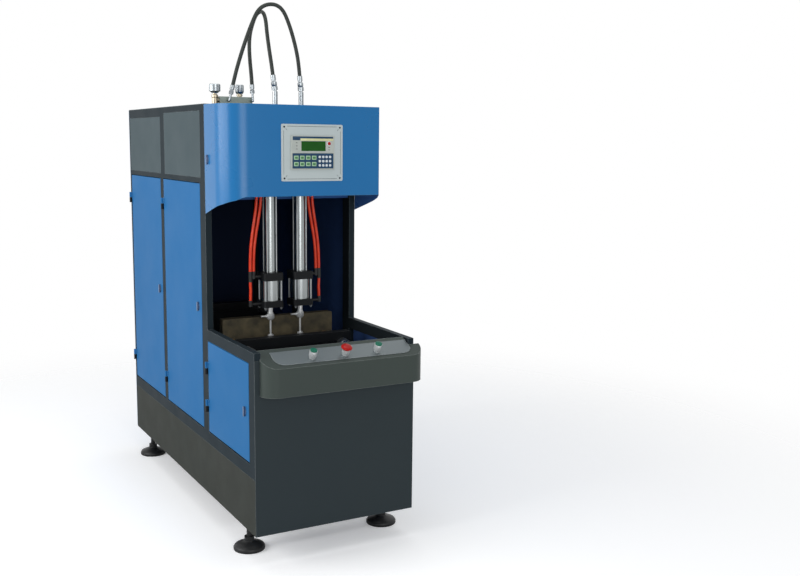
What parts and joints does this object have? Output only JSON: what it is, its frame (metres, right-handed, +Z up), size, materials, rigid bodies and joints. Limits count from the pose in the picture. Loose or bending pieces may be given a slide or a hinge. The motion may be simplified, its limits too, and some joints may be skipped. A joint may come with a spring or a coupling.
{
  "type": "blow moulding machine",
  "caption": "A semi-automatic blow moulding machine: blue doors on a grey frame, a hinged blue hood over stretch cylinders, and a clamp behind an open working space",
  "frame": {"origin": "on the floor under the middle of the footprint", "axes": "+X to the operator's right, +Y from the operator's side to the back, +Z up"},
  "size_m": [0.6888, 1.69, 2.0676],
  "materials": {
    "tower_blue": "semi-gloss powder paint, blue",
    "hood_blue": "glossy powder paint, blue",
    "tower_grey": "powder paint, grey",
    "plinth_grey": "powder paint, dark grey",
    "black_paint": "black paint",
    "raw_steel": "ground steel, lightly rusted",
    "steel": "ground steel",
    "silver_sheet": "satin anodised",
    "barrel_alloy": "polished and anodised",
    "chrome": "bright chrome",
    "brass": "turned brass",
    "bronze": "turned bronze",
    "black_plastic": "moulded",
    "navy_plastic": "printed membrane, navy",
    "green_plastic": "moulded green",
    "red_plastic": "moulded red",
    "red_tube": "polyurethane tube, red",
    "rubber": "rubber hose, black",
    "screen": "green liquid crystal display"
  },
  "bodies": {
    "machine": {"air_manifold": "silver_sheet", "air_tubes": "red_tube", "bed_rails": "tower_grey", "button_bodies": "chrome", "button_plate": "silver_sheet", "clamp_cylinder": "barrel_alloy", "cross_members": "tower_grey", "cylinder_barrels": "barrel_alloy", "cylinder_caps": "black_paint", "cylinder_tie_rods": "steel", "fixed_platen": "black_paint", "frame_hinges": "black_paint", "front_panel": "tower_grey", "head_mount": "hood_blue", "hex_nuts": "steel", "hood_keeper": "steel", "hose_fittings": "chrome", "left_air_hose": "rubber", "levelling_feet": "black_plastic", "operator_ledge": "tower_grey", "plinth_channels": "plinth_grey", "port_fittings": "black_plastic", "rear_panel": "tower_blue", "regulator_bodies": "brass", "right_air_hose": "rubber", "right_side_panels": "tower_blue", "roof_panel": "tower_grey", "side_frame_left": "tower_grey", "side_frame_right": "tower_grey", "tail_plate": "black_paint", "tie_bars": "chrome", "top_plate": "hood_blue", "upper_covers": "tower_grey", "valve_blocks": "barrel_alloy"},
    "base_door": {"base_door": "tower_blue"},
    "tower_door": {"tower_door": "tower_blue"},
    "rear_door": {"rear_door": "tower_blue"},
    "base_door_lock": {"base_door_latch": "black_plastic"},
    "tower_door_lock": {"tower_door_latch": "black_plastic"},
    "rear_door_lock": {"rear_door_latch": "black_plastic"},
    "hood": {"hood": "hood_blue", "control_plate": "silver_sheet", "display_unit": "navy_plastic", "display_screen": "screen", "key_membrane": "navy_plastic"},
    "hood_lock": {"hood_latch": "black_plastic"},
    "left_push": {"left_button": "green_plastic"},
    "right_push": {"right_button": "green_plastic"},
    "stop_push": {"stop_button": "red_plastic"},
    "left_seal": {"left_seal_rod": "chrome"},
    "right_seal": {"right_seal_rod": "chrome"},
    "left_stretch": {"left_stretch_rod": "chrome"},
    "right_stretch": {"right_stretch_rod": "chrome"},
    "clamp": {"moving_platen": "raw_steel", "platen_bushes": "bronze", "clamp_rod": "chrome"},
    "left_knob": {"left_regulator_knob": "chrome"},
    "right_knob": {"right_regulator_knob": "chrome"}
  },
  "joints": [
    {"name": "base_door_swing", "type": "hinge", "parent": "machine", "child": "base_door", "pos_m": [-0.331, -0.2735, 0.56], "axis": [0, 0, -1], "range_deg": [0, 110]},
    {"name": "tower_door_swing", "type": "hinge", "parent": "machine", "child": "tower_door", "pos_m": [-0.331, 0.2935, 0.87], "axis": [0, 0, -1], "range_deg": [0, 110]},
    {"name": "rear_door_swing", "type": "hinge", "parent": "machine", "child": "rear_door", "pos_m": [-0.331, 0.8285, 0.87], "axis": [0, 0, -1], "range_deg": [0, 110]},
    {"name": "base_door_turn", "type": "hinge", "parent": "base_door", "child": "base_door_lock", "pos_m": [-0.325, -0.688, 0.562], "axis": [1, 0, 0], "range_deg": [0, 90]},
    {"name": "tower_door_turn", "type": "hinge", "parent": "tower_door", "child": "tower_door_lock", "pos_m": [-0.325, -0.173, 0.8725], "axis": [1, 0, 0], "range_deg": [0, 90]},
    {"name": "rear_door_turn", "type": "hinge", "parent": "rear_door", "child": "rear_door_lock", "pos_m": [-0.325, 0.373, 0.8725], "axis": [1, 0, 0], "range_deg": [0, 90]},
    {"name": "hood_swing", "type": "hinge", "parent": "machine", "child": "hood", "pos_m": [0.331, -0.2765, 1.4625], "axis": [0, 0, 1], "range_deg": [0, 100]},
    {"name": "hood_turn", "type": "hinge", "parent": "hood", "child": "hood_lock", "pos_m": [-0.325, -0.318, 1.4625], "axis": [1, 0, 0], "range_deg": [0, 90]},
    {"name": "left_button_press", "type": "slide", "parent": "machine", "child": "left_push", "axis": [0, 0.4369, -0.8995], "range_m": [0, 0.0035], "stiffness_N_per_m": 600, "springref_m": -0.002},
    {"name": "right_button_press", "type": "slide", "parent": "machine", "child": "right_push", "axis": [0, 0.4369, -0.8995], "range_m": [0, 0.0035], "stiffness_N_per_m": 600, "springref_m": -0.002},
    {"name": "stop_button_press", "type": "slide", "parent": "machine", "child": "stop_push", "axis": [0, 0.4369, -0.8995], "range_m": [0, 0.004], "stiffness_N_per_m": 800, "springref_m": -0.002},
    {"name": "left_seal_stroke", "type": "slide", "parent": "machine", "child": "left_seal", "axis": [0, 0, -1], "range_m": [0, 0.05]},
    {"name": "right_seal_stroke", "type": "slide", "parent": "machine", "child": "right_seal", "axis": [0, 0, -1], "range_m": [0, 0.05]},
    {"name": "left_stretch_stroke", "type": "slide", "parent": "machine", "child": "left_stretch", "axis": [0, 0, -1], "range_m": [0, 0.3]},
    {"name": "right_stretch_stroke", "type": "slide", "parent": "machine", "child": "right_stretch", "axis": [0, 0, -1], "range_m": [0, 0.3]},
    {"name": "clamp_stroke", "type": "slide", "parent": "machine", "child": "clamp", "axis": [0, 1, 0], "range_m": [0, 0.15]},
    {"name": "left_knob_turn", "type": "hinge", "parent": "machine", "child": "left_knob", "pos_m": [-0.2665, -0.24, 1.73], "axis": [0, 0, 1], "range_deg": [0, 330]},
    {"name": "right_knob_turn", "type": "hinge", "parent": "machine", "child": "right_knob", "pos_m": [-0.16538, -0.24, 1.73], "axis": [0, 0, 1], "range_deg": [0, 330]}
  ]
}
